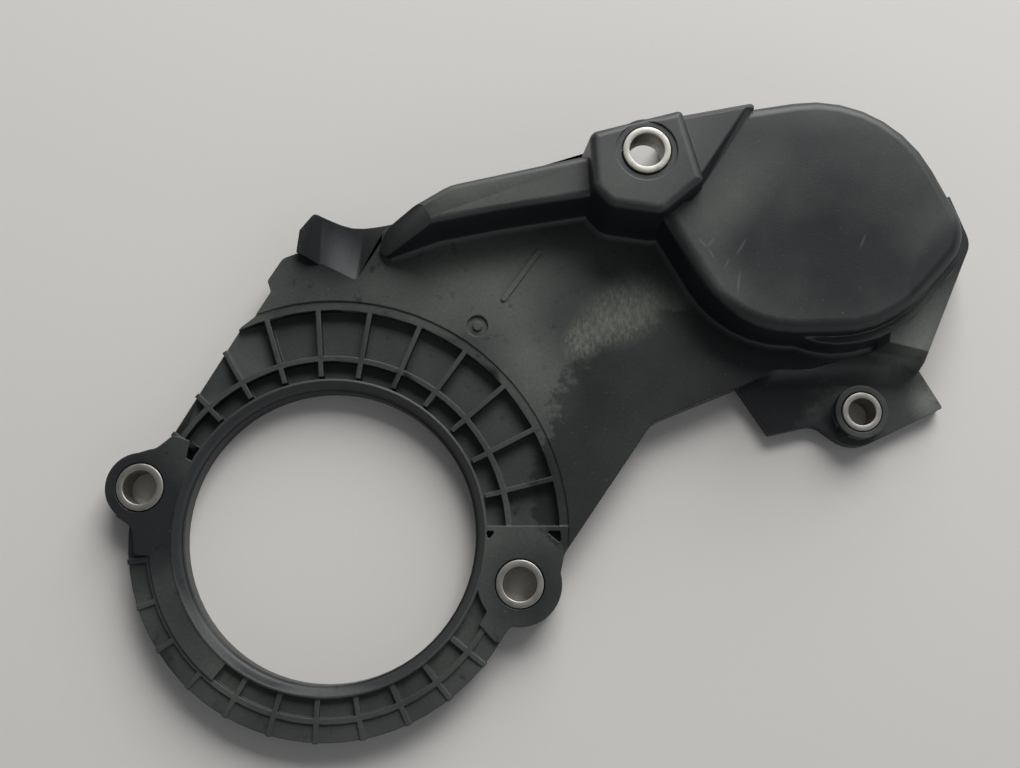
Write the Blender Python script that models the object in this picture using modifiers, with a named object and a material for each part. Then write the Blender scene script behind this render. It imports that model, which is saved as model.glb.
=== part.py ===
"""Moulded timing cover with four metal compression sleeves.

The cover is one black plastic moulding that lies on its back, open side down.
Its plan is drawn from the centre of the crank opening, in millimetres, with
heights measured up from the back plane. The last step moves everything so
that the origin is at the middle of the footprint, on the back plane.
"""

from math import atan2, ceil, cos, pi, radians, sin, sqrt, tan

import bmesh
import bpy
from mathutils import Matrix, Vector

MM = 0.001
PIECE_GAP = 0.3

# The moulding: its face level, the wall of its shells and the draft of its sides.
FACE = 8.2
WALL = 2.4
DRAFT = 0.09

# The ring round the crank opening.
OPENING_RADIUS = 37.0
OPENING_FLARE = 1.7
COLLAR_WIDTH = 3.0
COLLAR_RADIUS = OPENING_RADIUS + COLLAR_WIDTH
COLLAR_TOP = 8.4
COLLAR_STRAIGHT = 4.4
GROOVE_WIDTH = 0.7
INNER_ROW_WIDTH = 4.7
ARC_RIB_WIDTH = 1.4
OUTER_ROW_WIDTH = 12.1
LOWER_ROW_WIDTH = 4.5
STEP_BAND_WIDTH = 2.4
INNER_ROW_EDGE = COLLAR_RADIUS + INNER_ROW_WIDTH
OUTER_ROW_START = INNER_ROW_EDGE + ARC_RIB_WIDTH
OUTER_ROW_EDGE = OUTER_ROW_START + OUTER_ROW_WIDTH
STEP_LINE_RADIUS = OUTER_ROW_EDGE + STEP_BAND_WIDTH
RING_RADIUS = OUTER_ROW_START + LOWER_ROW_WIDTH
POCKET_FLOOR = 3.2
STEP_LINE_DEPTH = 0.4
RING_FACE = FACE - STEP_LINE_DEPTH
RIB_COUNT = 27
RIB_START = -4.2
RIB_WIDTH = 1.3
RIB_ROOT = 0.5
RIB_PROUD = 0.25

# The bolt places: two ears across the ring, the upper boss and the flange.
BOLT_SETBACK = 9.6
BOLT_CIRCLE = COLLAR_RADIUS + BOLT_SETBACK
RIGHT_EAR_ANGLE = -14.1
RIGHT_EAR_RADIUS = 10.6
LEFT_EAR_RADIUS = 8.8
UPPER_BOLT = (79.7, 94.2)
FLANGE_BOLT = (135.7, 31.4)

# The sleeves.
SLEEVE_RADIUS = 6.0
SLEEVE_BORE = 4.3
FLANGE_SLEEVE_RADIUS = 5.0
FLANGE_SLEEVE_BORE = 3.5
SLEEVE_PROUD = 0.3
SLEEVE_CHAMFER = 0.4
BOSS_TUBE_WALL = 2.5
BOSS_SEAT_MARGIN = 1.7
BOSS_SEAT_DEPTH = 0.4
FLANGE_BOSS_WALL = 1.8

# Heights of the raised forms.
CHANNEL_TOP = 22.0
DOME_STEP_TOP = 16.5
DOME_TOP = 22.0
CORNER_TOP = 25.0
BOSS_TOP = 28.0
FLANGE_TOP = 4.0
CHANNEL_ROUNDING = 2.0
DOME_ROUNDING = 3.2
BOSS_ROUNDING = 2.4
EDGE_ROUNDING = 0.6

# The saddle lip at the end of the channel.
LIP_LOW = 5.6
LIP_TOP = 10.2
LIP_RADIUS = 18.0
LIP_THICKNESS = 2.4
LIP_TROUGH_LENGTH = 60.0

# Marks in the face.
GATE_PLACE = (37.2, 53.9)
GATE_RADIUS = 2.8
GATE_NUB_RADIUS = 1.2
GATE_DEPTH = 0.7
GATE_NUB_DROP = 0.2
POINTER_ANGLE = 35.8
POINTER_START = 74.6
POINTER_END = 91.4
POINTER_WIDTH = 1.5
POINTER_HEIGHT = 0.45
POINTER_END_RADIUS = 0.67

ARC_STEP = radians(11.0)
SHORTEST_FACET = 0.7
LEAST_RADIUS = 0.05
WELD = 0.000001
FLAT = radians(0.5)
RING_STEPS = 72
SLEEVE_STEPS = 36
FLARE_STEPS = 4
GATE_STEPS = 24
BELOW = -2.0
ABOVE = 40.0

# Outlines: each corner is x, y and the radius of its rounding.
FACE_OUTLINE = (
    (46.0, -14.0, 0), (57.6, -9.5, 1.5), (59.6, -4.2, 6.0), (82.3, 29.0, 9.0),
    (104.5, 38.0, 24.0), (113.5, 42.2, 8.0), (123.0, 42.2, 16.0), (137.0, 46.2, 24.0),
    (151.2, 53.6, 2.0), (163.6, 73.6, 12.0), (143.6, 115.4, 34.0), (87.0, 106.6, 3.0),
    (64.4, 100.6, 3.0), (63.1, 96.6, 2.0), (29.9, 88.8, 14.0), (13.0, 79.3, 4.0),
    (5.6, 66.2, 1.0), (-9.4, 73.6, 1.5), (-13.8, 71.9, 2.0), (-17.6, 65.9, 0.6),
    (-16.6, 63.0, 0.6), (-20.6, 56.4, 1.0), (-24.3, 53.4, 1.5), (-40.3, 26.2, 0),
    (-36.0, 10.0, 0), (0.0, -10.0, 0),
)
CHANNEL_OUTLINE = (
    (8.4, 69.6, 2.5), (27.3, 76.4, 10.0), (43.1, 79.6, 30.0), (76.0, 84.8, 0),
    (76.0, 97.6, 0), (62.9, 96.1, 4.0), (29.8, 88.7, 13.0), (13.8, 79.0, 4.0),
)
BOSS_OUTLINE = (
    (64.6, 84.0, 5.5), (69.4, 78.4, 6.0), (84.0, 76.2, 6.0), (96.0, 86.0, 3.0),
    (90.0, 107.4, 3.0), (63.8, 100.6, 4.0),
)
CORNER_OUTLINE = (
    (83.0, 82.0, 1.0), (91.6, 82.6, 2.0), (109.6, 109.6, 1.2), (84.0, 104.8, 1.0),
)
DOME_OUTLINE = (
    (80.0, 83.6, 0), (100.4, 48.4, 29.0), (141.4, 48.4, 32.0), (163.2, 73.6, 12.0),
    (143.4, 115.0, 34.0), (88.0, 106.2, 2.0), (80.0, 98.0, 0),
)
DOME_STEP_OUTLINE = (
    (104.0, 46.6, 21.0), (142.6, 46.4, 30.0), (163.4, 71.4, 10.0), (154.0, 90.0, 4.0),
    (108.0, 80.0, 4.0),
)
FLANGE_OUTLINE = (
    (104.6, 38.6, 0), (112.9, 25.9, 0.8), (124.6, 28.6, 5.0), (134.2, 21.6, 9.0),
    (157.9, 33.0, 0.5), (152.4, 42.7, 0.5), (151.2, 43.0, 0.6), (152.6, 50.4, 2.0),
    (151.0, 58.0, 0), (112.0, 58.0, 0),
)
SKIRT_OUTLINE = (
    (109.0, 38.0, 2.0), (127.0, 38.4, 2.0), (145.0, 38.6, 4.0), (151.8, 44.0, 3.0),
    (152.8, 56.0, 3.0), (148.0, 62.0, 0), (114.0, 60.0, 0),
)
END_SKIRT_OUTLINE = (
    (138.0, 46.0, 0), (152.6, 42.2, 1.0), (166.4, 73.6, 9.0), (160.4, 90.0, 3.0), (146.0, 84.0, 0),
)
BOSS_WINDOW = ((67.1, 107.7, 0), (70.4, 95.1, 1.0), (87.8, 99.7, 1.0), (84.5, 112.3, 0))
LIP_OUTLINE = (
    (5.0, 65.4, 0), (14.0, 72.0, 0), (17.0, 81.6, 0), (4.0, 80.6, 16.0),
    (-5.6, 83.6, 1.5), (-11.2, 76.6, 1.5), (-10.2, 73.2, 1.0),
)
LEFT_EAR_BLENDS = (
    ((-38.0, 12.0, 0), (-36.0, 24.0, 0), (-40.2, 25.4, 1.0), (-44.6, 21.8, 4.0), (-49.5, 21.6, 0)),
    ((-54.0, 4.9, 0), (-49.6, 2.2, 4.0), (-48.7, -5.0, 1.0), (-43.0, -5.0, 0), (-42.0, 8.0, 0)),
)
RIGHT_EAR_BLENDS = (
    ((44.0, -12.0, 0), (38.0, -22.0, 0), (42.6, -27.0, 1.0), (46.0, -22.2, 4.0), (51.0, -22.0, 0)),
    ((37.9, -8.0, 0), (46.0, -16.0, 0), (58.2, -10.0, 0), (59.4, -4.4, 4.0), (60.4, 2.4, 0), (38.6, 2.4, 0)),
)
EAR_RECESSES = (
    ((40.2, -1.2, 0.3), (42.0, 1.1, 0.3), (39.6, 1.1, 0.3)),
    ((58.4, -2.0, 0.3), (58.4, 1.1, 0.3), (54.6, 1.1, 0.3)),
)
CHANNEL_END = ((23.4, 82.6), (11.2, 75.4))
CHANNEL_END_TOP = 10.2
CHANNEL_HOLLOW_END = ((22.0, 83.4, 1.0), (25.0, 75.7, 1.0))
RING_LEFT_EDGE = ((-24.3, 53.4), (-40.3, 26.2))
LEFT_EDGE_RUN = 1.2
RING_TRIM_INSET = 0.1
RING_TRIM_DEPTH = 30.0
SMOOTH_BAND = (-142.0, -62.0)
UPPER_ROWS = (-20.0, 84.0)
LEFT_ROWS = -60.0
RIGHT_LOWER_ROW = 118.0
EAR_LOWER_ROW = -88.0
LIP_AXIS = ((4.0, 60.0), (8.0, 95.0))
EAR_RECESS_FLOOR = 5.0
BOSS_WINDOW_TOP = 17.6
FORM_ROOT = 1.0
SKIRT_LEVELS = ((0.0, 1.0), (0.4, FLANGE_TOP), (4.6, FACE - 0.2))
END_SKIRT_LEVELS = ((0.0, 0.0), (0.3, FLANGE_TOP), (1.4, 10.0), (2.8, DOME_STEP_TOP - 0.6))
CORNER_LEVELS = ((0.0, DOME_TOP - 4.0), (0.2, DOME_TOP), (1.9, CORNER_TOP - 0.3), (2.3, CORNER_TOP))


def clear_scene():
    for item in list(bpy.data.objects):
        bpy.data.objects.remove(item, do_unlink=True)


def new_collection(name):
    group = bpy.data.collections.new(name)
    bpy.context.scene.collection.children.link(group)
    return group


def plastic():
    material = bpy.data.materials.new("black glass filled nylon")
    material.use_nodes = True
    shader = material.node_tree.nodes["Principled BSDF"]
    shader.inputs["Base Color"].default_value = (0.018, 0.019, 0.021, 1.0)
    shader.inputs["Roughness"].default_value = 0.55
    return material


def sleeve_metal():
    material = bpy.data.materials.new("plated steel sleeve")
    material.use_nodes = True
    shader = material.node_tree.nodes["Principled BSDF"]
    shader.inputs["Base Color"].default_value = (0.56, 0.55, 0.52, 1.0)
    shader.inputs["Metallic"].default_value = 1.0
    shader.inputs["Roughness"].default_value = 0.42
    return material


def polar(radius, angle):
    """A plan point at a radius and an angle in degrees, turned clockwise from +Y."""
    return (radius * sin(radians(angle)), radius * cos(radians(angle)))


def bolt_place(angle):
    """An ear's bolt on the bolt circle, at an angle in degrees from +X."""
    return (BOLT_CIRCLE * cos(radians(angle)), BOLT_CIRCLE * sin(radians(angle)))


def rounded(corners, inset=0.0):
    """An outline moved inwards, with each of its corners turned into an arc."""
    points = []
    count = len(corners)
    for index, (x, y, radius) in enumerate(corners):
        here = Vector((x, y))
        into = (here - Vector(corners[index - 1][:2])).normalized()
        out = (Vector(corners[(index + 1) % count][:2]) - here).normalized()
        normals = Vector((-into.y - out.y, into.x + out.x))
        corner = here + normals * (inset / (1.0 + into.dot(out)))
        if radius == 0:
            points.append(corner)
            continue
        turn = atan2(into.x * out.y - into.y * out.x, into.dot(out))
        steps = max(1, min(ceil(abs(turn) / ARC_STEP), ceil(abs(turn) * radius / SHORTEST_FACET)))
        kept = max(radius - inset if turn > 0 else radius + inset, LEAST_RADIUS)
        reach = kept * tan(abs(turn) / 2)
        side = 1.0 if turn > 0 else -1.0
        centre = corner - into * reach + Vector((-into.y, into.x)) * kept * side
        spoke = Vector((into.y, -into.x)) * kept * side
        for step in range(steps + 1):
            swing = turn * step / steps
            points.append(centre + Vector((
                spoke.x * cos(swing) - spoke.y * sin(swing),
                spoke.x * sin(swing) + spoke.y * cos(swing))))
    return points


def finish_mesh(name, mesh_maker, group, material=None):
    mesh = bpy.data.meshes.new(name)
    bmesh.ops.recalc_face_normals(mesh_maker, faces=mesh_maker.faces)
    mesh_maker.to_mesh(mesh)
    mesh_maker.free()
    item = bpy.data.objects.new(name, mesh)
    if material:
        mesh.materials.append(material)
    group.objects.link(item)
    return item


def block(name, outline, levels, group, shrink=0.0):
    """A solid through an outline at several levels, each an inset and a height."""
    shape = bmesh.new()
    rings = []
    for inset, height in levels:
        ring = rounded(outline, inset + shrink)
        rings.append([shape.verts.new((p.x * MM, p.y * MM, height * MM)) for p in ring])
    shape.faces.new(rings[0])
    shape.faces.new(rings[-1])
    for low, high in zip(rings, rings[1:]):
        for index in range(len(low)):
            after = (index + 1) % len(low)
            shape.faces.new((low[index], low[after], high[after], high[index]))
    return finish_mesh(name, shape, group)


def plate(name, outline, bottom, top, group, shrink=0.0):
    """A flat outline with upright sides, drawn as a filled curve."""
    drawing = bpy.data.curves.new(name, "CURVE")
    drawing.dimensions = "2D"
    drawing.fill_mode = "BOTH"
    drawing.extrude = (top - bottom) / 2 * MM
    points = rounded(outline, shrink)
    line = drawing.splines.new("POLY")
    line.points.add(len(points) - 1)
    for point, place in zip(line.points, points):
        point.co = (place.x * MM, place.y * MM, 0.0, 1.0)
    line.use_cyclic_u = True
    drawn = bpy.data.objects.new(name, drawing)
    drawn.location.z = (top + bottom) / 2 * MM
    bpy.context.scene.collection.objects.link(drawn)
    view = bpy.context.evaluated_depsgraph_get()
    mesh = bpy.data.meshes.new_from_object(drawn.evaluated_get(view))
    shape = bmesh.new()
    shape.from_mesh(mesh)
    bmesh.ops.remove_doubles(shape, verts=shape.verts, dist=WELD)
    bmesh.ops.dissolve_limit(shape, angle_limit=FLAT, verts=shape.verts, edges=shape.edges)
    shape.transform(drawn.matrix_world)
    bpy.data.objects.remove(drawn)
    return finish_mesh(name, shape, group)


def tier_levels(bottom, top, rounding, steps=4):
    """Levels of a raised form: a drafted side, then a quarter round up to its top."""
    side = top - rounding - bottom
    levels = [(0.0, bottom), (side * DRAFT, top - rounding)]
    for step in range(1, steps + 1):
        swing = pi / 2 * step / steps
        levels.append((side * DRAFT + rounding * (1 - cos(swing)), top - rounding * (1 - sin(swing))))
    return levels


def cylinder(name, place, radius, bottom, top, group, steps=48, flare=0.0):
    shape = bmesh.new()
    bmesh.ops.create_cone(
        shape, cap_ends=True, segments=steps, radius1=radius * MM, radius2=(radius + flare) * MM,
        depth=(top - bottom) * MM,
        matrix=Matrix.Translation((place[0] * MM, place[1] * MM, (top + bottom) / 2 * MM)))
    return finish_mesh(name, shape, group)


def bar(shape, angle, inner, outer):
    """A straight rib along a radius, rooted in the pocket floor."""
    bottom = POCKET_FLOOR / 2
    size = Matrix.Diagonal((RIB_WIDTH * MM, (outer - inner) * MM, (RING_FACE - bottom) * MM, 1.0))
    place = Matrix.Translation((0.0, (inner + outer) / 2 * MM, (RING_FACE + bottom) / 2 * MM))
    turn = Matrix.Rotation(-radians(angle), 4, "Z")
    bmesh.ops.create_cube(shape, size=1.0, matrix=turn @ place @ size)


def turned(name, profile, steps, group, material=None, place=(0.0, 0.0)):
    """A ring turned from a closed profile of radius and height pairs."""
    shape = bmesh.new()
    points = [shape.verts.new((radius * MM, 0.0, height * MM)) for radius, height in profile]
    for index in range(len(points)):
        shape.edges.new((points[index], points[(index + 1) % len(points)]))
    mesh = bpy.data.meshes.new(name)
    shape.to_mesh(mesh)
    shape.free()
    item = bpy.data.objects.new(name, mesh)
    if material:
        mesh.materials.append(material)
    group.objects.link(item)
    item.location = (place[0] * MM, place[1] * MM, 0.0)
    screw = item.modifiers.new("turn", "SCREW")
    screw.steps = steps
    screw.render_steps = steps
    screw.use_merge_vertices = True
    screw.merge_threshold = WELD
    return item


def combine(target, tool, operation):
    """A live Boolean: the tool joins, cuts or bounds the target."""
    tool.display_type = "WIRE"
    tool.hide_render = True
    boolean = target.modifiers.new(tool.name, "BOOLEAN")
    boolean.operation = operation
    boolean.object = tool
    boolean.solver = "EXACT"


def edge_reach(angle):
    """How far a radius runs before it meets the ring's straight left edge."""
    (x1, y1), (x2, y2) = RING_LEFT_EDGE
    run = polar(1.0, angle)
    across = (x2 - x1, y2 - y1)
    return (x1 * across[1] - y1 * across[0]) / (run[0] * across[1] - run[1] * across[0])


def rib_angles():
    pitch = 360.0 / RIB_COUNT
    angles = []
    for index in range(RIB_COUNT):
        angle = RIB_START + index * pitch
        angles.append(angle - 360.0 if angle > 180.0 else angle)
    return angles


def ribs(group):
    """The radial ribs: across both rows above the ears, and out past the ring's edge below."""
    shape = bmesh.new()
    for angle in rib_angles():
        if UPPER_ROWS[0] < angle < UPPER_ROWS[1]:
            bar(shape, angle, COLLAR_RADIUS + GROOVE_WIDTH, OUTER_ROW_EDGE + RIB_ROOT)
        elif LEFT_ROWS < angle < 0.0:
            bar(shape, angle, COLLAR_RADIUS + GROOVE_WIDTH,
                min(OUTER_ROW_EDGE + RIB_ROOT, edge_reach(angle) + RIB_PROUD))
        elif angle > RIGHT_LOWER_ROW or angle < SMOOTH_BAND[0]:
            bar(shape, angle, COLLAR_RADIUS - RIB_ROOT, RING_RADIUS + RIB_PROUD)
        elif angle < EAR_LOWER_ROW:
            bar(shape, angle, INNER_ROW_EDGE + RIB_ROOT, RING_RADIUS + RIB_PROUD)
    return finish_mesh("radial_ribs", shape, group)


def sector(name, inner, outer, start, end, bottom, top, group):
    """A piece of a ring between two angles, clockwise from +Y."""
    steps = ceil(radians(end - start) / (2 * pi / RING_STEPS))
    angles = [start + (end - start) * step / steps for step in range(steps + 1)]
    outline = [(*polar(outer, angle), 0) for angle in reversed(angles)]
    outline += [(*polar(inner, angle), 0) for angle in angles]
    return plate(name, outline, bottom, top, group)


def ring_disc(tools):
    """The ring's disc, cut off straight along the cover's left edge."""
    disc = cylinder("ring_disc", (0.0, 0.0), RING_RADIUS, 0.0, FACE, tools, RING_STEPS)
    top, low = map(Vector, RING_LEFT_EDGE)
    run = (low - top) * LEFT_EDGE_RUN
    out = Vector((run.y, -run.x)).normalized()
    top = top - out * RING_TRIM_INSET
    far = out * RING_TRIM_DEPTH
    corners = [(*place, 0) for place in (top + run, top - run, top - run + far, top + run + far)]
    trim = plate("ring_trim", corners, BELOW, ABOVE, tools)
    combine(disc, trim, "DIFFERENCE")
    return disc


def ring_zone(cover, tools):
    """Sinks the pockets round the opening, then sets the arc ribs and radial ribs in them."""
    pockets = turned("pocket_floor", (
        (STEP_LINE_RADIUS, ABOVE), (STEP_LINE_RADIUS, RING_FACE),
        (OUTER_ROW_EDGE, RING_FACE), (OUTER_ROW_EDGE, POCKET_FLOOR),
        (COLLAR_RADIUS, POCKET_FLOOR), (COLLAR_RADIUS, ABOVE)), RING_STEPS, tools)
    combine(cover, pockets, "DIFFERENCE")
    root = POCKET_FLOOR / 2
    arc_rib = turned("arc_rib", (
        (INNER_ROW_EDGE + ARC_RIB_WIDTH, RING_FACE), (INNER_ROW_EDGE + ARC_RIB_WIDTH, root),
        (INNER_ROW_EDGE, root), (INNER_ROW_EDGE, RING_FACE)), RING_STEPS, tools)
    combine(cover, arc_rib, "UNION")
    radial = ribs(tools)
    combine(cover, radial, "UNION")
    band = sector("smooth_band", COLLAR_RADIUS - RIB_ROOT, INNER_ROW_EDGE + RIB_ROOT, *SMOOTH_BAND,
                  root, FACE, tools)
    combine(cover, band, "UNION")


def ears(cover, tools):
    """The two ears across the ring, with the flats that blend them into it."""
    for side, angle, radius, blends in (
            ("right", RIGHT_EAR_ANGLE, RIGHT_EAR_RADIUS, RIGHT_EAR_BLENDS),
            ("left", RIGHT_EAR_ANGLE + 180.0, LEFT_EAR_RADIUS, LEFT_EAR_BLENDS)):
        combine(cover, cylinder(side + "_ear", bolt_place(angle), radius, 0.0, FACE, tools), "UNION")
        for number, outline in enumerate(blends):
            name = side + "_ear_blend_" + str(number)
            combine(cover, plate(name, outline, 0.0, FACE, tools), "UNION")


def raised_forms():
    """Name, outline, top and rounding of each form that stands on the face."""
    return (
        ("channel", CHANNEL_OUTLINE, CHANNEL_TOP, CHANNEL_ROUNDING),
        ("dome_step", DOME_STEP_OUTLINE, DOME_STEP_TOP, EDGE_ROUNDING),
        ("dome", DOME_OUTLINE, DOME_TOP, DOME_ROUNDING),
        ("boss", BOSS_OUTLINE, BOSS_TOP, BOSS_ROUNDING),
    )


def hollow_levels(top, rounding):
    """The levels of the hollow behind a form, one wall lower and open at the back."""
    inner = max(rounding - WALL, EDGE_ROUNDING)
    return [(0.0, BELOW)] + tier_levels(FACE - WALL, top - WALL, inner)


def channel_end_cutter(group):
    """A box that slopes the channel's left end down to the lip."""
    (x1, y1), (x2, y2) = CHANNEL_END
    run = sqrt((x2 - x1) ** 2 + (y2 - y1) ** 2)
    fall = atan2(CHANNEL_TOP - CHANNEL_END_TOP, run)
    length = run * 3
    shape = bmesh.new()
    size = Matrix.Diagonal((length * MM, length * MM, length * MM, 1.0))
    place = Matrix.Translation((length / 2 * MM, 0.0, length / 2 * MM))
    tilt = Matrix.Rotation(fall, 4, "Y")
    turn = Matrix.Rotation(atan2(y2 - y1, x2 - x1), 4, "Z")
    start = Matrix.Translation((x1 * MM, y1 * MM, CHANNEL_TOP * MM))
    bmesh.ops.create_cube(shape, size=1.0, matrix=start @ turn @ tilt @ place @ size)
    return finish_mesh("channel_end_slope", shape, group)


def saddle_lip(tools):
    """A curved lip: a slice of an outline between two cylinders that lie along the axis."""
    lip = plate("saddle_lip", LIP_OUTLINE, 0.0, LIP_TOP, tools)
    (x1, y1), (x2, y2) = LIP_AXIS
    run = Vector((x2 - x1, y2 - y1, 0.0))
    for name, radius, operation in (
            ("lip_trough", LIP_RADIUS, "DIFFERENCE"),
            ("lip_underside", LIP_RADIUS + LIP_THICKNESS, "INTERSECT")):
        shape = bmesh.new()
        middle = Vector(((x1 + x2) / 2, (y1 + y2) / 2, LIP_LOW + LIP_RADIUS)) * MM
        along = run.to_track_quat("Z", "Y").to_matrix().to_4x4()
        bmesh.ops.create_cone(
            shape, cap_ends=True, segments=72, radius1=radius * MM, radius2=radius * MM,
            depth=LIP_TROUGH_LENGTH * MM, matrix=Matrix.Translation(middle) @ along)
        combine(lip, finish_mesh(name, shape, tools), operation)
    return lip


def build_cover(parts, tools, material):
    cover = plate("cover_moulding", FACE_OUTLINE, 0.0, FACE, parts)
    cover.data.materials.append(material)
    combine(cover, ring_disc(tools), "UNION")
    ring_zone(cover, tools)
    ears(cover, tools)

    combine(cover, plate("flange", FLANGE_OUTLINE, 0.0, FLANGE_TOP, tools), "UNION")
    combine(cover, block("skirt", SKIRT_OUTLINE, SKIRT_LEVELS, tools), "UNION")
    combine(cover, block("end_skirt", END_SKIRT_OUTLINE, END_SKIRT_LEVELS, tools), "UNION")
    combine(cover, saddle_lip(tools), "UNION")

    for name, outline, top, rounding in raised_forms():
        form = block(name, outline, tier_levels(FACE - FORM_ROOT, top, rounding), tools)
        if name == "channel":
            combine(form, channel_end_cutter(tools), "DIFFERENCE")
        combine(cover, form, "UNION")
    combine(cover, block("corner_plate", CORNER_OUTLINE, CORNER_LEVELS, tools), "UNION")

    hollow_out(cover, tools)
    bolt_holes(cover, tools)
    marks(cover, tools)
    return cover


def hollow_out(cover, tools):
    """Opens the back: the belt space behind the face, the channel, the boss and the dome."""
    face_space = plate("face_hollow", FACE_OUTLINE, BELOW, FACE - WALL, tools, WALL)
    keep = cylinder("ring_keep", (0.0, 0.0), STEP_LINE_RADIUS, BELOW - 1.0, FACE, tools, RING_STEPS)
    combine(face_space, keep, "DIFFERENCE")
    combine(cover, face_space, "DIFFERENCE")
    for name, outline, top, rounding in raised_forms():
        if name == "channel":
            outline = outline[2:-1] + CHANNEL_HOLLOW_END
        space = block(name + "_hollow", outline, hollow_levels(top, rounding), tools, WALL)
        combine(cover, space, "DIFFERENCE")
    for name, outline, levels in (
            ("skirt", SKIRT_OUTLINE, SKIRT_LEVELS), ("end_skirt", END_SKIRT_OUTLINE, END_SKIRT_LEVELS)):
        inside = [(0.0, BELOW)] + [(inset, height - WALL) for inset, height in levels[1:]]
        combine(cover, block(name + "_hollow", outline, inside, tools, WALL), "DIFFERENCE")
    window = plate("boss_window", BOSS_WINDOW, BELOW, BOSS_WINDOW_TOP, tools)
    combine(cover, window, "DIFFERENCE")


def bolt_holes(cover, tools):
    """The tubes that carry the sleeves, their holes and the crank opening."""
    hole = SLEEVE_RADIUS + PIECE_GAP
    boss_tube = cylinder("boss_tube", UPPER_BOLT, SLEEVE_RADIUS + BOSS_TUBE_WALL,
                         BOSS_TOP + SLEEVE_PROUD - sleeve_length(), BOSS_TOP - FORM_ROOT, tools)
    combine(cover, boss_tube, "UNION")
    flange_boss = cylinder("flange_boss", FLANGE_BOLT, FLANGE_SLEEVE_RADIUS + FLANGE_BOSS_WALL,
                           0.0, FACE, tools)
    combine(cover, flange_boss, "UNION")
    seat = cylinder("upper_seat", UPPER_BOLT, SLEEVE_RADIUS + BOSS_SEAT_MARGIN,
                    BOSS_TOP - BOSS_SEAT_DEPTH, ABOVE, tools)
    combine(cover, seat, "DIFFERENCE")
    for name, place, radius in (
            ("right_hole", bolt_place(RIGHT_EAR_ANGLE), hole),
            ("left_hole", bolt_place(RIGHT_EAR_ANGLE + 180.0), hole),
            ("upper_hole", UPPER_BOLT, hole),
            ("flange_hole", FLANGE_BOLT, FLANGE_SLEEVE_RADIUS + PIECE_GAP)):
        combine(cover, cylinder(name, place, radius, BELOW, ABOVE, tools), "DIFFERENCE")
    inside = OPENING_RADIUS - COLLAR_WIDTH
    rim = turned("collar", (
        (COLLAR_RADIUS - EDGE_ROUNDING / 2, COLLAR_TOP), (COLLAR_RADIUS, COLLAR_TOP - EDGE_ROUNDING),
        (COLLAR_RADIUS, POCKET_FLOOR / 2), (inside, POCKET_FLOOR / 2), (inside, COLLAR_TOP)),
        RING_STEPS, tools)
    combine(cover, rim, "UNION")
    combine(cover, crank_opening(tools), "DIFFERENCE")
    core = cylinder("crank_opening_core", (0.0, 0.0), OPENING_RADIUS * 2 / 3, BELOW, ABOVE, tools)
    combine(cover, core, "DIFFERENCE")


def crank_opening(tools):
    """The wall of the crank opening: straight below, then out over a quarter round to the top."""
    inside = OPENING_RADIUS / 3
    rise = COLLAR_TOP - COLLAR_STRAIGHT
    profile = [(OPENING_RADIUS + OPENING_FLARE, ABOVE)]
    for step in range(FLARE_STEPS, -1, -1):
        swing = pi / 2 * step / FLARE_STEPS
        profile.append((OPENING_RADIUS + OPENING_FLARE * (1 - cos(swing)),
                        COLLAR_STRAIGHT + rise * sin(swing)))
    profile += [(OPENING_RADIUS, BELOW), (inside, BELOW), (inside, ABOVE)]
    return turned("crank_opening", profile, RING_STEPS, tools)


def pointer_outline():
    """The timing pointer's bar, with round ends, along a radius of the crank opening."""
    right = polar(POINTER_WIDTH / 2, POINTER_ANGLE + 90.0)
    corners = []
    for radius, side in (
            (POINTER_START, 1.0), (POINTER_END, 1.0), (POINTER_END, -1.0), (POINTER_START, -1.0)):
        end = polar(radius, POINTER_ANGLE)
        corners.append((end[0] + right[0] * side, end[1] + right[1] * side, POINTER_END_RADIUS))
    return corners


def marks(cover, tools):
    """The gate mark, the timing pointer, the fine step round the pockets and the ear recesses."""
    gate = turned("gate_recess", (
        (GATE_RADIUS, ABOVE), (GATE_RADIUS, FACE - GATE_DEPTH),
        (GATE_NUB_RADIUS, FACE - GATE_DEPTH), (GATE_NUB_RADIUS, ABOVE)),
        GATE_STEPS, tools, None, GATE_PLACE)
    combine(cover, gate, "DIFFERENCE")
    nub = cylinder("gate_nub_trim", GATE_PLACE, GATE_RADIUS, FACE - GATE_NUB_DROP, ABOVE,
                   tools, GATE_STEPS)
    combine(cover, nub, "DIFFERENCE")
    pointer = plate("pointer", pointer_outline(), FACE - FORM_ROOT, FACE + POINTER_HEIGHT, tools)
    combine(cover, pointer, "UNION")
    for number, outline in enumerate(EAR_RECESSES):
        recess = plate("ear_recess_" + str(number), outline, EAR_RECESS_FLOOR, ABOVE, tools)
        combine(cover, recess, "DIFFERENCE")


def sleeve_length():
    return FACE + SLEEVE_PROUD


def sleeve(name, place, radius, bore, top, parts, material):
    """A cut tube with a small chamfer on each of its four edges."""
    bottom = top - sleeve_length()
    edge = SLEEVE_CHAMFER
    profile = (
        (radius, top - edge), (radius, bottom + edge), (radius - edge, bottom),
        (bore + edge, bottom), (bore, bottom + edge), (bore, top - edge),
        (bore + edge, top), (radius - edge, top))
    return turned(name, profile, SLEEVE_STEPS, parts, material, place)


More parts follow.
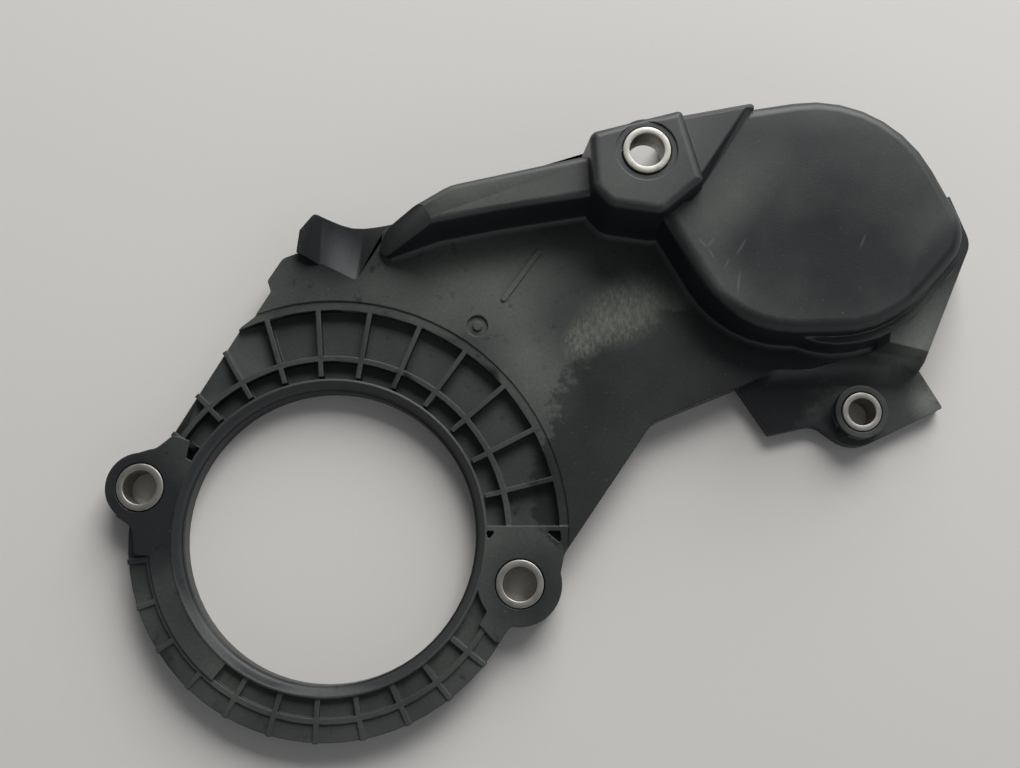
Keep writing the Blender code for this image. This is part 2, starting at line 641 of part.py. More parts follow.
def build_sleeves(parts, material):
    ring_top = sleeve_length()
    return [
        sleeve("sleeve_left_ear", bolt_place(RIGHT_EAR_ANGLE + 180.0), SLEEVE_RADIUS, SLEEVE_BORE,
               ring_top, parts, material),
        sleeve("sleeve_right_ear", bolt_place(RIGHT_EAR_ANGLE), SLEEVE_RADIUS, SLEEVE_BORE,
               ring_top, parts, material),
        sleeve("sleeve_upper_boss", UPPER_BOLT, SLEEVE_RADIUS, SLEEVE_BORE,
               BOSS_TOP + SLEEVE_PROUD, parts, material),
        sleeve("sleeve_flange", FLANGE_BOLT, FLANGE_SLEEVE_RADIUS, FLANGE_SLEEVE_BORE,
               ring_top, parts, material),
    ]


def centre_on_footprint(pieces):
    """Hangs every piece and tool on one empty at the middle of the footprint."""
    view = bpy.context.evaluated_depsgraph_get()
    corners = []
    for piece in pieces:
        shown = piece.evaluated_get(view)
        corners += [piece.matrix_world @ Vector(corner) for corner in shown.bound_box]
    lows = Vector(map(min, zip(*corners)))
    highs = Vector(map(max, zip(*corners)))
    anchor = bpy.data.objects.new("footprint_centre", None)
    bpy.context.scene.collection.objects.link(anchor)
    for item in bpy.data.objects:
        if item is not anchor and item.parent is None:
            item.parent = anchor
    anchor.location = (-(lows.x + highs.x) / 2, -(lows.y + highs.y) / 2, -lows.z)
    bpy.context.view_layer.update()
    return lows, highs


clear_scene()
part_group = new_collection("timing_cover")
tool_group = new_collection("cutters")
cover_piece = build_cover(part_group, tool_group, plastic())
sleeve_pieces = build_sleeves(part_group, sleeve_metal())
bpy.context.view_layer.update()
low_corner, high_corner = centre_on_footprint([cover_piece, *sleeve_pieces])
print("footprint in mm", [round(v / MM, 2) for v in (*low_corner, *high_corner)])
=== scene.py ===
# %% [markdown]
# # Timing cover, dressed for the camera
#
# A timing cover keeps dirt off the belt at the front of an engine. This one is
# a single moulding of black glass-filled nylon, with a metal sleeve in each
# bolt place so that the bolt clamps on metal and not on plastic. The frame
# gives the solids at their real size. This lesson gives them their finish.

# %% Load the frame
from math import atan2, degrees, radians

import bmesh
import bpy
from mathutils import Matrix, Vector


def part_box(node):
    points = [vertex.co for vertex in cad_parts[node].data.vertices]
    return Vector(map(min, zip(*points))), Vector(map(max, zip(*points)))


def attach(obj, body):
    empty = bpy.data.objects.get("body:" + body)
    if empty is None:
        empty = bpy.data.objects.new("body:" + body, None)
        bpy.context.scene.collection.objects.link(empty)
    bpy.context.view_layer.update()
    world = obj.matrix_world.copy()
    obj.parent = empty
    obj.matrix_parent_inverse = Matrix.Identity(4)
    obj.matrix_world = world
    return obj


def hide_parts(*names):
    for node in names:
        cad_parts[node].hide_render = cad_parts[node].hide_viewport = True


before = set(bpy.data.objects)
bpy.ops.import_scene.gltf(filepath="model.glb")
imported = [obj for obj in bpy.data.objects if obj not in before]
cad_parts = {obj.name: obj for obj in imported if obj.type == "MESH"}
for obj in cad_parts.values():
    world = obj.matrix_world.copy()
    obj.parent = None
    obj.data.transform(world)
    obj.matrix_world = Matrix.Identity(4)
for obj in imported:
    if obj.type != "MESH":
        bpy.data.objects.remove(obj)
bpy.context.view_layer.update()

MM = 0.001
print("nodes in the frame:", sorted(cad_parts))

# %% [markdown]
# ## One centre for every measure
#
# The cover was drawn from the middle of its crank opening. The two ears lie
# straight across that opening from each other, so the point halfway between
# their sleeves is its centre. Places could be typed in as world coordinates,
# but measuring them from that centre keeps them right if the frame shifts.

# %% Find the centre of the crank opening


def middle(node):
    low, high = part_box(node)
    return (low + high) / 2


def at(x, y, z=0.0):
    """A place in mm from the centre of the crank opening, as a world place."""
    return Vector((opening_centre.x + x * MM, opening_centre.y + y * MM, z * MM))


opening_centre = (middle("sleeve_left_ear") + middle("sleeve_right_ear")) / 2
opening_centre.z = 0.0
print("opening centre in mm:", [round(v / MM, 2) for v in opening_centre])

# %% [markdown]
# ## Colours
#
# Colours are easiest to choose as the hex values of a paint chart, but a
# renderer adds light, and light is linear. One function turns the first into
# the second, and every colour goes through it.

# %% Turn chart colours into light


def linear(code):
    """A hex colour as the linear values that shaders want."""
    channels = [int(code[place:place + 2], 16) / 255 for place in (1, 3, 5)]
    return [c / 12.92 if c <= 0.04045 else ((c + 0.055) / 1.055) ** 2.4 for c in channels] + [1.0]


print("chart grey #808080 is", round(linear("#808080")[0], 3), "of white light")

# %% [markdown]
# ## One helper for shader nodes
#
# A material is a small network. Writing each node as create, set, link takes
# many lines, so one function does the three at once: a setting is given by its
# property name, and an input either by a value or by the socket to link.

# %% The node helper


def add(tree, kind, inputs=None, **settings):
    """Adds a node, sets its properties, and fills or links its inputs."""
    node = tree.nodes.new(kind)
    for name, value in settings.items():
        setattr(node, name, value)
    for key, value in (inputs or {}).items():
        socket = node.inputs[key]
        if isinstance(value, bpy.types.NodeSocket):
            tree.links.new(value, socket)
        else:
            socket.default_value = value
    return node


def new_material(name):
    material = bpy.data.materials.new(name)
    material.use_nodes = True
    material.node_tree.nodes.clear()
    return material, material.node_tree


def finish_material(tree, shader):
    add(tree, "ShaderNodeOutputMaterial", {"Surface": shader.outputs["BSDF"]})


def millimetres(tree):
    """Object coordinates measured in mm from the centre of the crank opening."""
    coordinates = add(tree, "ShaderNodeTexCoord").outputs["Object"]
    moved = add(tree, "ShaderNodeVectorMath", {0: coordinates, 1: opening_centre},
                operation="SUBTRACT").outputs[0]
    return add(tree, "ShaderNodeVectorMath", {0: moved, "Scale": 1 / MM},
               operation="SCALE").outputs[0]


def noise(tree, vector, size, detail=4.0, roughness=0.5):
    """Cloudy noise whose patches are about size mm across."""
    return add(tree, "ShaderNodeTexNoise", {
        "Vector": vector, "Scale": 1 / size, "Detail": detail, "Roughness": roughness}).outputs["Fac"]


def remap(tree, value, low, high, out_low=0.0, out_high=1.0):
    """Stretches the part of a value between two limits to a new range."""
    return add(tree, "ShaderNodeMapRange", {
        "Value": value, "From Min": low, "From Max": high,
        "To Min": out_low, "To Max": out_high}).outputs["Result"]


def calculate(tree, operation, first, second=0.0, third=0.0):
    return add(tree, "ShaderNodeMath", {0: first, 1: second, 2: third}, operation=operation).outputs[0]


def blend(tree, amount, under, over):
    """One colour laid over another by an amount from 0 to 1."""
    node = add(tree, "ShaderNodeMix", {"Factor": amount}, data_type="RGBA")
    for socket, value in ((node.inputs[6], under), (node.inputs[7], over)):
        if isinstance(value, bpy.types.NodeSocket):
            tree.links.new(value, socket)
        else:
            socket.default_value = value
    return node.outputs[2]


print("helpers ready")

# %% [markdown]
# ## The camera
#
# The picture is taken by hand, close and almost straight down, so near parts
# look bigger: the tall boss leans outwards. A long lens from far away would
# lose that. The lens and the place are worked out from the four sleeves, whose
# real sizes are known.

# %% Place the camera
CAMERA_PLACE = (45.65, -14.28, 312.47)
CAMERA_TILT = 9.86
LENS = 42.43
SENSOR_WIDTH = 36.0

scene = bpy.context.scene
camera_data = bpy.data.cameras.new("camera")
camera_data.lens = LENS
camera_data.sensor_width = SENSOR_WIDTH
camera_data.sensor_fit = "HORIZONTAL"
camera_data.clip_start = 0.01
camera = bpy.data.objects.new("camera", camera_data)
camera.location = at(*CAMERA_PLACE)
camera.rotation_euler = (radians(CAMERA_TILT), 0.0, 0.0)
scene.collection.objects.link(camera)
scene.camera = camera
print("camera height in mm:", round(camera.location.z / MM))

# %% [markdown]
# ## Floor and light
#
# The cover lies on a pale table under soft daylight from beyond its far side,
# so shadows are wide and fall towards the viewer. A sun lamp would draw hard
# edges. A big, far area lamp gives soft ones. A room is also brighter at its
# walls than at its ceiling, so the sky here is bright low down and dim above,
# and brighter on the right, as if a second window filled the shadows there.

# %% Lay the floor and hang the light
FLOOR_HALF = 1.5
FLOOR_COLOUR = "#c6c3be"
SKY_COLOUR = "#e8ecf2"
HORIZON_STRENGTH = 0.85
ZENITH_STRENGTH = 0.14
DIM_SIDE = 0.55
BRIGHT_SIDE = 1.6
LAMP_PLACE = (480.0, 1300.0, 860.0)
LAMP_SIZE = 1.2
LAMP_POWER = 39.0
LAMP_AIM = (60.0, 30.0)
SKY_FADE = 0.8
FLOOR_ROUGHNESS = 0.75

floor_mesh = bpy.data.meshes.new("floor")
floor_corners = [(-1, -1), (1, -1), (1, 1), (-1, 1)]
floor_points = [(x * FLOOR_HALF, y * FLOOR_HALF, 0.0) for x, y in floor_corners]
floor_mesh.from_pydata(floor_points, [], [(0, 1, 2, 3)])
floor = bpy.data.objects.new("floor", floor_mesh)
scene.collection.objects.link(floor)
floor_paint, floor_tree = new_material("matt pale laminate")
floor_shader = add(floor_tree, "ShaderNodeBsdfPrincipled", {
    "Base Color": linear(FLOOR_COLOUR), "Roughness": FLOOR_ROUGHNESS})
finish_material(floor_tree, floor_shader)
floor_mesh.materials.append(floor_paint)

lamp_data = bpy.data.lights.new("window", "AREA")
lamp_data.energy = LAMP_POWER
lamp_data.size = LAMP_SIZE
lamp = bpy.data.objects.new("window", lamp_data)
lamp.location = at(*LAMP_PLACE)
aim = at(*LAMP_AIM) - lamp.location
lamp.rotation_euler = aim.to_track_quat("-Z", "Y").to_euler()
scene.collection.objects.link(lamp)

sky = bpy.data.worlds.new("sky")
sky.use_nodes = True
scene.world = sky
background = sky.node_tree.nodes["Background"]
background.inputs["Color"].default_value = linear(SKY_COLOUR)
direction = add(sky.node_tree, "ShaderNodeTexCoord").outputs["Generated"]
split = add(sky.node_tree, "ShaderNodeSeparateXYZ", {0: direction}).outputs
level = remap(sky.node_tree, split["Z"], 0.0, SKY_FADE, HORIZON_STRENGTH, ZENITH_STRENGTH)
side = remap(sky.node_tree, split["X"], -SKY_FADE, SKY_FADE, DIM_SIDE, BRIGHT_SIDE)
strength = calculate(sky.node_tree, "MULTIPLY", level, side)
sky.node_tree.links.new(strength, background.inputs["Strength"])
scene.view_settings.view_transform = "Standard"
print("lamp to cover in mm:", round(aim.length / MM))

# %% [markdown]
# ## Moulded glass-filled nylon
#
# The plastic is nylon with glass fibre, coloured black and moulded in a steel
# tool. Its skin is matt, because the fibres leave it faintly grainy. After
# years in an engine bay it carries grey dust on what faces up, pale rubbed
# edges, a scuffed patch and an oily one. Its colour also holds painted light:
# a pale sheen on the right skirt, the lit flare inside the collar, a pale
# right end of the flange and a highlight along the ledges below the dome. It
# holds painted shade too, where dust is taken off the saddle lip, the
# flange's left end and the dome's right side. All of it could be painted on a
# picture, but a picture ties the finish to one unwrapping. Here each cause is
# a mask made from the surface itself: its direction, its edges and its place.

# %% Marks that have a place
PATCH_DEPTH = 1000.0


def patch(tree, vector, place, half_length, half_width, turn):
    """A soft oval that is 1 in its middle and 0 past its rim, at a place in mm."""
    local = add(tree, "ShaderNodeMapping", {
        "Vector": vector, "Location": (*place, 0.0), "Rotation": (0.0, 0.0, radians(turn)),
        "Scale": (half_length, half_width, PATCH_DEPTH)}, vector_type="TEXTURE").outputs[0]
    oval = add(tree, "ShaderNodeTexGradient", {"Vector": local}, gradient_type="SPHERICAL")
    return oval.outputs["Fac"]


def strongest(tree, vector, marks):
    """The largest at each point of several ovals."""
    result = 0.0
    for mark in marks:
        result = calculate(tree, "MAXIMUM", patch(tree, vector, *mark), result)
    return result


def total(tree, vector, marks):
    """The sum of several ovals, each with its own strength as the last number."""
    result = 0.0
    for *mark, strength in marks:
        result = calculate(tree, "MULTIPLY_ADD", patch(tree, vector, *mark), strength, result)
    return result


# Each row is a middle, a half length, a half width and a turn in degrees. The
# rows of dust and painted light, of wiped places and painted shade, of painted
# light on walls, and of soot end with how strong they are.
DUST_AND_PAINTED_LIGHT_PLACES = (
    ((38.0, 66.0), 32.0, 15.0, 10.0, 0.5),
    ((50.0, 47.0), 24.0, 11.0, -58.0, 0.4),
    ((36.0, 84.0), 36.0, 9.0, 10.0, 0.12),
    ((82.0, 58.0), 26.0, 13.0, 10.0, 0.3),
    ((102.0, 84.0), 19.0, 9.0, 52.0, 0.25),
    ((122.0, 110.0), 24.0, 9.0, -14.0, 0.1),
    # The next row paints the right end of the flange pale where light falls on it: painted light.
    ((154.0, 35.0), 6.0, 6.0, 0.0, 0.9),
    ((122.5, 32.0), 5.0, 4.0, 0.0, 0.4),
    ((-22.0, -37.0), 26.0, 9.0, -40.0, 0.15),
)
WIPED_AND_PAINTED_SHADE_PLACES = (
    ((-48.0, 8.0), 26.0, 18.0, 80.0, 0.45),
    ((52.0, -14.0), 18.0, 15.0, 0.0, 0.25),
    # The next two rows take dust off the flange's left end and the dome's right side, so they stay
    # darker where shade falls: painted shade.
    ((118.0, 32.0), 16.0, 10.0, 0.0, 0.5),
    ((156.0, 66.0), 18.0, 9.0, 62.0, 0.4),
    ((126.0, 78.0), 52.0, 44.0, 0.0, 0.24),
    # The last row takes dust off the saddle lip, which the lamp lights, so it stays dark: painted
    # shade.
    ((0.0, 76.0), 14.0, 12.0, 0.0, 0.4),
)
# These rows paint walls pale where light falls on them: a painted sheen on the right skirt below the
# dome, and painted light on the flare inside the collar at the bottom and the lower left.
PAINTED_LIGHT_WALLS = (
    ((149.0, 47.0), 24.0, 10.0, 58.0, 0.75),
    ((0.0, -38.5), 30.0, 2.5, 0.0, 0.35),
    ((-30.0, -24.0), 26.0, 3.0, -51.0, 0.3),
)
SOOTY_PLACES = (
    ((0.0, 76.0), 22.0, 20.0, 0.0, 1.6),
    ((126.0, 78.0), 56.0, 46.0, 0.0, 0.8),
)
PALE_SCUFFS = (
    ((75.0, 57.5), 14.0, 9.5, 30.0),
    ((65.0, 51.0), 8.0, 6.0, 52.0),
)
OILY_PATCHES = (
    ((93.0, 38.0), 41.0, 23.0, 12.0),
    ((70.0, 18.0), 27.0, 19.0, 60.0),
)
SCRATCHES = (
    ((93.9, 72.1), 2.0, 0.45, -50.0),
    ((96.1, 72.4), 2.0, 0.4, 53.0),
    ((96.0, 69.4), 1.9, 0.35, -62.0),
    ((103.5, 71.0), 3.2, 0.4, 58.0),
    ((102.6, 62.0), 3.6, 0.45, 82.0),
    ((99.8, 66.8), 1.6, 0.35, 60.0),
    ((134.0, 72.5), 2.6, 0.4, 66.0),
)
DOME_END = (((136.0, 56.0), 34.0, 20.0, 20.0),)
placed_marks = (DUST_AND_PAINTED_LIGHT_PLACES, WIPED_AND_PAINTED_SHADE_PLACES, PAINTED_LIGHT_WALLS, SOOTY_PLACES, PALE_SCUFFS, OILY_PATCHES,
                SCRATCHES, DOME_END)
print("marks with a place:", sum(len(marks) for marks in placed_marks))

# %% Mix the plastic
NYLON = "#16181b"
# The dust colour also paints light: the sheen on the skirt, the lit collar flare and the pale right end
# of the flange.
NYLON_DUST_AND_PAINTED_LIGHT = "#63665f"
NYLON_WORN_AND_HIGHLIGHT = "#878a7c"
NYLON_OIL = "#12120f"
NYLON_IOR = 1.46
GRAIN = 0.45
GRAIN_HEIGHT = 0.06
EDGE_RADIUS = 0.45
FINE_GRIT = 0.9
CLOUD_SIZE = 24.0
LEAST_DUST = 0.03
OIL_TOP = 12.0
OIL_FADE = 1.0
OIL_RAGGED = 0.16
OIL_LOBES = 4.0
OIL_WIPES_DUST = 0.62
OIL_STRENGTH = 0.35
SCUFF_TURN = 35.0
SCUFF_GRAIN = 0.8
SCUFF_STRENGTH = 0.5
SCRATCH_STRENGTH = 0.13
SPECK_SIZE = 0.8
SPECK_STRENGTH = 0.14
LEDGE_LEVELS = ((14.6, 17.4), (6.8, 8.6))
LEDGE_FADE = 0.3
LEDGE_BREAKS = 5.0
LEDGE_STRENGTH = 0.85


def band(tree, height, low, high, fade):
    """1 where a height lies between two levels, fading out over a short way."""
    rise = remap(tree, height, low - fade, low)
    fall = remap(tree, height, high + fade, high)
    return calculate(tree, "MULTIPLY", rise, fall)


def dust_painted_light_and_shade(tree, place, upward):
    """Grey dust on what faces up: cloudy, gritty, thicker in some places and wiped in others; plus
    painted light on some walls and places, and painted shade where dust is taken off.
    """
    clouds = remap(tree, noise(tree, place, CLOUD_SIZE, 3.0), 0.3, 0.7, 0.14, 0.34)
    grit = remap(tree, noise(tree, place, FINE_GRIT, 6.0, 0.75), 0.25, 0.75, 0.72, 1.28)
    more = calculate(tree, "ADD", clouds, total(tree, place, DUST_AND_PAINTED_LIGHT_PLACES))
    less = calculate(tree, "SUBTRACT", more, total(tree, place, WIPED_AND_PAINTED_SHADE_PLACES))
    kept = calculate(tree, "MULTIPLY", calculate(tree, "MAXIMUM", less, LEAST_DUST), upward)
    # The wall rows are laid on here as pale film: painted sheen and painted light, not dust.
    dust_and_painted_light = calculate(tree, "MAXIMUM", kept, total(tree, place, PAINTED_LIGHT_WALLS))
    return calculate(tree, "MULTIPLY", dust_and_painted_light, grit)


def oil_film(tree, place, height):
    """A dark soaked patch with a ragged rim, on the flat face and not on the dome."""
    lobes = noise(tree, place, OIL_LOBES, 7.0, 0.7)
    wobble = remap(tree, lobes, 0.3, 0.7, -OIL_RAGGED, OIL_RAGGED)
    reach = calculate(tree, "ADD", strongest(tree, place, OILY_PATCHES), wobble)
    soaked = remap(tree, reach, 0.07, 0.17)
    below_dome = remap(tree, height, OIL_TOP + OIL_FADE, OIL_TOP)
    return calculate(tree, "MULTIPLY", soaked, below_dome)


def rubbed_scuff(tree, place):
    """Fine pale scratches side by side, close together in the middle of the scuff."""
    streaked = add(tree, "ShaderNodeMapping", {
        "Vector": place, "Rotation": (0.0, 0.0, radians(SCUFF_TURN)),
        "Scale": (1.0, 0.45, 1.0)}).outputs[0]
    fine = remap(tree, noise(tree, streaked, SCUFF_GRAIN, 7.0, 0.8), 0.44, 0.62, 0.2, 1.0)
    reach = remap(tree, strongest(tree, place, PALE_SCUFFS), 0.0, 0.55)
    return calculate(tree, "MULTIPLY", reach, fine)


def worn_and_highlit_ledges(tree, place, height, edge):
    """Rubbed plastic and a painted highlight along the two steps below the dome, where covers knock
    together.
    """
    levels = [band(tree, height, low, high, LEDGE_FADE) for low, high in LEDGE_LEVELS]
    ledge = calculate(tree, "MAXIMUM", *levels)
    dome_end = strongest(tree, place, DOME_END)
    broken = remap(tree, noise(tree, place, LEDGE_BREAKS, 5.0, 0.65), 0.4, 0.62, 0.2, 1.0)
    marked = calculate(tree, "MULTIPLY", calculate(tree, "MULTIPLY", edge, ledge), broken)
    return calculate(tree, "MULTIPLY", marked, remap(tree, dome_end, 0.0, 0.3))


def nylon_material():
    material, tree = new_material("moulded black glass filled nylon")
    place = millimetres(tree)
    geometry = add(tree, "ShaderNodeNewGeometry")
    soft_normal = add(tree, "ShaderNodeBevel", {"Radius": EDGE_RADIUS * MM}, samples=6).outputs[0]
    match = add(tree, "ShaderNodeVectorMath", {0: soft_normal, 1: geometry.outputs["Normal"]},
                operation="DOT_PRODUCT").outputs["Value"]
    edge = remap(tree, match, 0.995, 0.88)
    facing = add(tree, "ShaderNodeSeparateXYZ", {0: geometry.outputs["Normal"]}).outputs["Z"]
    height = add(tree, "ShaderNodeSeparateXYZ", {0: place}).outputs["Z"]
    upward = remap(tree, facing, 0.5, 0.98)

    # The film is dust, plus painted light on some walls and places, and painted shade where dust is
    # taken off.
    film = dust_painted_light_and_shade(tree, place, upward)
    oil = oil_film(tree, place, height)
    scuff = rubbed_scuff(tree, place)
    ledges = worn_and_highlit_ledges(tree, place, height, edge)
    scratches = remap(tree, strongest(tree, place, SCRATCHES), 0.0, 0.6)
    specks = remap(tree, noise(tree, place, SPECK_SIZE, 2.0, 0.6), 0.68, 0.76, 0.0, SPECK_STRENGTH)

    wiped = calculate(tree, "MULTIPLY_ADD", oil, -OIL_WIPES_DUST, 1.0)
    colour = blend(tree, calculate(tree, "MULTIPLY", film, wiped), linear(NYLON), linear(NYLON_DUST_AND_PAINTED_LIGHT))
    colour = blend(tree, calculate(tree, "MULTIPLY", oil, OIL_STRENGTH), colour, linear(NYLON_OIL))
    # The pale worn colour also paints a highlight along the two ledges below the dome.
    for mark, strength in ((scuff, SCUFF_STRENGTH), (specks, upward),
                           (scratches, SCRATCH_STRENGTH), (ledges, LEDGE_STRENGTH)):
        amount = calculate(tree, "MULTIPLY", mark, strength)
        colour = blend(tree, amount, colour, linear(NYLON_WORN_AND_HIGHLIGHT))

    rough = remap(tree, film, 0.0, 0.6, 0.38, 0.64)
    rough = calculate(tree, "MULTIPLY_ADD", oil, -0.08, rough)
    grain = noise(tree, place, GRAIN, 3.0, 0.6)
    bump = add(tree, "ShaderNodeBump", {
        "Height": grain, "Strength": 0.3, "Distance": GRAIN_HEIGHT * MM,
        "Normal": soft_normal}).outputs[0]
    soot = remap(tree, total(tree, place, SOOTY_PLACES), 0.0, 1.0)
    gloss = calculate(tree, "MULTIPLY_ADD", soot, -0.35, 0.5)
    shader = add(tree, "ShaderNodeBsdfPrincipled", {
        "Base Color": colour, "Roughness": rough, "IOR": NYLON_IOR,
        "Specular IOR Level": gloss, "Normal": bump})
    finish_material(tree, shader)
    return material


nylon = nylon_material()
print("nodes in the plastic:", len(nylon.node_tree.nodes))

# %% [markdown]
# ## The moulding
#
# The frame's mesh is loose triangles, so light breaks at each one. Drawing the
# cover again would risk moving an edge, so a copy is taken instead: its points
# are merged, and gentle bends are shaded smooth while real edges stay sharp.
# Weighted normals keep the wide flats flat beside their rounded rims.

# %% Merge a copy of the moulding
MERGE = 0.02
SLIVER = 0.01
FLAT_ANGLE = 1.0


def merged_shape(node):
    """A frame node's mesh with its triangles joined into whole faces again."""
    shape = bmesh.new()
    shape.from_mesh(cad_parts[node].data)
    bmesh.ops.remove_doubles(shape, verts=shape.verts, dist=MERGE * MM)
    bmesh.ops.dissolve_degenerate(shape, dist=SLIVER * MM, edges=shape.edges)
    bmesh.ops.dissolve_limit(
        shape, angle_limit=radians(FLAT_ANGLE), verts=shape.verts, edges=shape.edges)
    return shape


cover_shape = merged_shape("cover_moulding")
print("whole faces in the moulding:", len(cover_shape.faces))

# %% [markdown]
# ## Shallow pockets and the leaning collar
#
# Between the two ears the ring is thin, and along the straight left edge the
# outer row has no outer wall. There the moulding is shallow: the pockets are
# dips, and the ends of the ribs are low bumps on the outline. The solids keep
# one plain floor level and a round flare at the collar. Here the floor points
# are lifted, the rib ends lowered and the flare drawn out to the straight lean
# that lets the moulding leave its tool. Floors and rib ends move only up or
# down, so their walls stay where they are.

# %% Lift the shallow floors and lean the collar
POCKET_FLOOR = 3.2
RING_FACE = 7.8
COLLAR_TOP = 8.4
COLLAR_RADIUS = 40.0
INNER_ROW_EDGE = 44.7
RING_RADIUS = 50.6
SHALLOW_INNER = 6.5
SHALLOW_OUTER = 7.2
SHALLOW_LEFT = 6.6
SHALLOW_UPPER = 4.6
RING_REACH = 60.0
RIB_END = 7.4
NEAR = 0.06
EDGE_BAND = 0.2
LEFT_EDGE = (Vector((-24.3, 53.4)), Vector((-40.3, 26.2)))
LOWER_TURNS = (-198.0, -14.0)
OPENING_RADIUS = 37.0
FLARE_TOP = 38.7
FLARE_FOOT_LEVEL = 6.7
LEAN_TOP = 39.3
LEAN_FOOT_LEVEL = 5.0
TOP_OF_LEAN = 0.99


def left_edge_distance(place):
    """How far a place lies outside the straight left edge, in mm."""
    top, low = LEFT_EDGE
    run = (low - top).normalized()
    return (place.xy - top).dot(Vector((run.y, -run.x)))


def is_lower(place):
    """Whether a place lies on the thin part of the ring, from ear to ear past the bottom."""
    turn = degrees(atan2(place.y, place.x))
    turn = turn - 360.0 if turn > 90.0 else turn  # the upper left counts on from the lower left
    return LOWER_TURNS[0] < turn < LOWER_TURNS[1]


lifted = lowered = leaned = 0
for vertex in cover_shape.verts:
    place = (vertex.co - opening_centre) / MM
    radius = place.xy.length
    on_floor = abs(place.z - POCKET_FLOOR) < NEAR
    past_left = radius < RING_REACH and left_edge_distance(place) > -EDGE_BAND
    if on_floor and is_lower(place) and radius > COLLAR_RADIUS - NEAR:
        vertex.co.z = (SHALLOW_OUTER if radius > INNER_ROW_EDGE + NEAR else SHALLOW_INNER) * MM
        lifted += 1
    elif on_floor and radius < RING_REACH:
        vertex.co.z = (SHALLOW_LEFT if past_left else SHALLOW_UPPER) * MM
        lifted += 1
    elif abs(place.z - RING_FACE) < NEAR and radius > INNER_ROW_EDGE and (
            (is_lower(place) and radius > RING_RADIUS + NEAR)
            or (past_left and left_edge_distance(place) > NEAR)):
        vertex.co.z = RIB_END * MM
        lowered += 1
    elif radius < FLARE_TOP + NEAR and place.z > FLARE_FOOT_LEVEL - NEAR:
        along = max(0.0, min(1.0, (radius - OPENING_RADIUS) / (FLARE_TOP - OPENING_RADIUS)))
        lean = OPENING_RADIUS + (LEAN_TOP - OPENING_RADIUS) * along
        vertex.co.x = opening_centre.x + place.x * lean / radius * MM
        vertex.co.y = opening_centre.y + place.y * lean / radius * MM
        if along < TOP_OF_LEAN:
            vertex.co.z = (LEAN_FOOT_LEVEL + (COLLAR_TOP - LEAN_FOOT_LEVEL) * along) * MM
        leaned += 1
print("floor points lifted:", lifted, "rib ends lowered:", lowered, "flare points leaned:", leaned)

# %% [markdown]
# ## A corner beside the left ear
#
# Where the straight edge runs into the round ear, the solids leave one small
# point standing out. A moulded edge would flow into the curve, so that point is
# drawn back onto the ear's outline.

# %% Draw the corner back
STRAY_CORNER = Vector((-49.5, 21.6))
EAR_OUTLINE = Vector((-48.95, 20.83))
CORNER_REACH = 0.15

drawn_back = 0
for vertex in cover_shape.verts:
    place = (vertex.co - opening_centre) / MM
    if (place.xy - STRAY_CORNER).length < CORNER_REACH:
        vertex.co = at(*EAR_OUTLINE, place.z)
        drawn_back += 1
print("points drawn back:", drawn_back)

# %% [markdown]
# ## Soft feet
#
# A steel mould has no sharp inside corner, because plastic flows badly into one
# and cracks there later. So each wall that rises from the face has a small
# hollow fillet at its foot. Cutting it with one more solid would be slow. The
# foot edges are easy to tell, though: they are hollow, they lie at the level of
# the face, and a tall wall rises from them. Those edges alone are rounded.

# %% Round the feet of the raised forms
FACE = 8.2
RING_EDGE = 62.0
TALL_WALL = 11.0
FOOT_FILLET = 1.5
FOOT_SEGMENTS = 4
FAR_EDGE = 96.0
LEVEL_BAND = 0.05
FLAT_UP = 0.95
WALL_UP = 0.75


def is_foot(edge):
    """A hollow edge at face level, between the ring and the far edge, below a tall wall."""
    if len(edge.link_faces) != 2 or edge.is_convex:
        return False
    places = [(vertex.co - opening_centre) / MM for vertex in edge.verts]
    wall, flat = sorted(edge.link_faces, key=lambda face: face.normal.z)
    level = all(abs(place.z - FACE) < LEVEL_BAND for place in places)
    outside = all(place.xy.length > RING_EDGE and place.y < FAR_EDGE for place in places)
    tall = max(vertex.co.z for vertex in wall.verts) / MM > TALL_WALL
    return level and outside and tall and flat.normal.z > FLAT_UP and wall.normal.z < WALL_UP


feet = [edge for edge in cover_shape.edges if is_foot(edge)]
foot_length = sum(edge.calc_length() for edge in feet)
rounded = bmesh.ops.bevel(
    cover_shape, geom=feet, offset=FOOT_FILLET * MM, offset_type="OFFSET",
    segments=FOOT_SEGMENTS, profile=0.5, affect="EDGES", clamp_overlap=False)
print("feet rounded in mm:", round(foot_length / MM), "with faces:", len(rounded["faces"]))
print("faces that fold under:", sum(face.normal.z < -0.01 for face in rounded["faces"]))

# %% Smooth it and hand it over
SHARP_ANGLE = 32.0


def applied(item):
    """Turns an object's modifiers into plain mesh."""
    view = bpy.context.evaluated_depsgraph_get()
    mesh = bpy.data.meshes.new_from_object(item.evaluated_get(view))
    mesh.name = item.name
    item.modifiers.clear()
    item.data = mesh
    return item


cover_mesh = bpy.data.meshes.new("dressed_cover")
cover_shape.to_mesh(cover_mesh)
cover_shape.free()
cover_mesh.materials.append(nylon)
cover_mesh.shade_smooth()
cover_mesh.set_sharp_from_angle(angle=radians(SHARP_ANGLE))
cover = bpy.data.objects.new("dressed_cover", cover_mesh)
scene.collection.objects.link(cover)
weighted = cover.modifiers.new("flat faces lead", "WEIGHTED_NORMAL")
weighted.keep_sharp = True
applied(cover)
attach(cover, "root")
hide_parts("cover_moulding")
print("faces in the moulding:", len(cover.data.polygons))

# %% [markdown]
# ## Plated steel
#
# The sleeves are cut from steel tube, chamfered, and plated with zinc that has
# gone dull. Plating follows every mark of the saw, so the faces stay faintly
# uneven, and handling leaves cloudy stains. Metal colour lives in its
# reflection, so the base colour is pale and the roughness does the work.

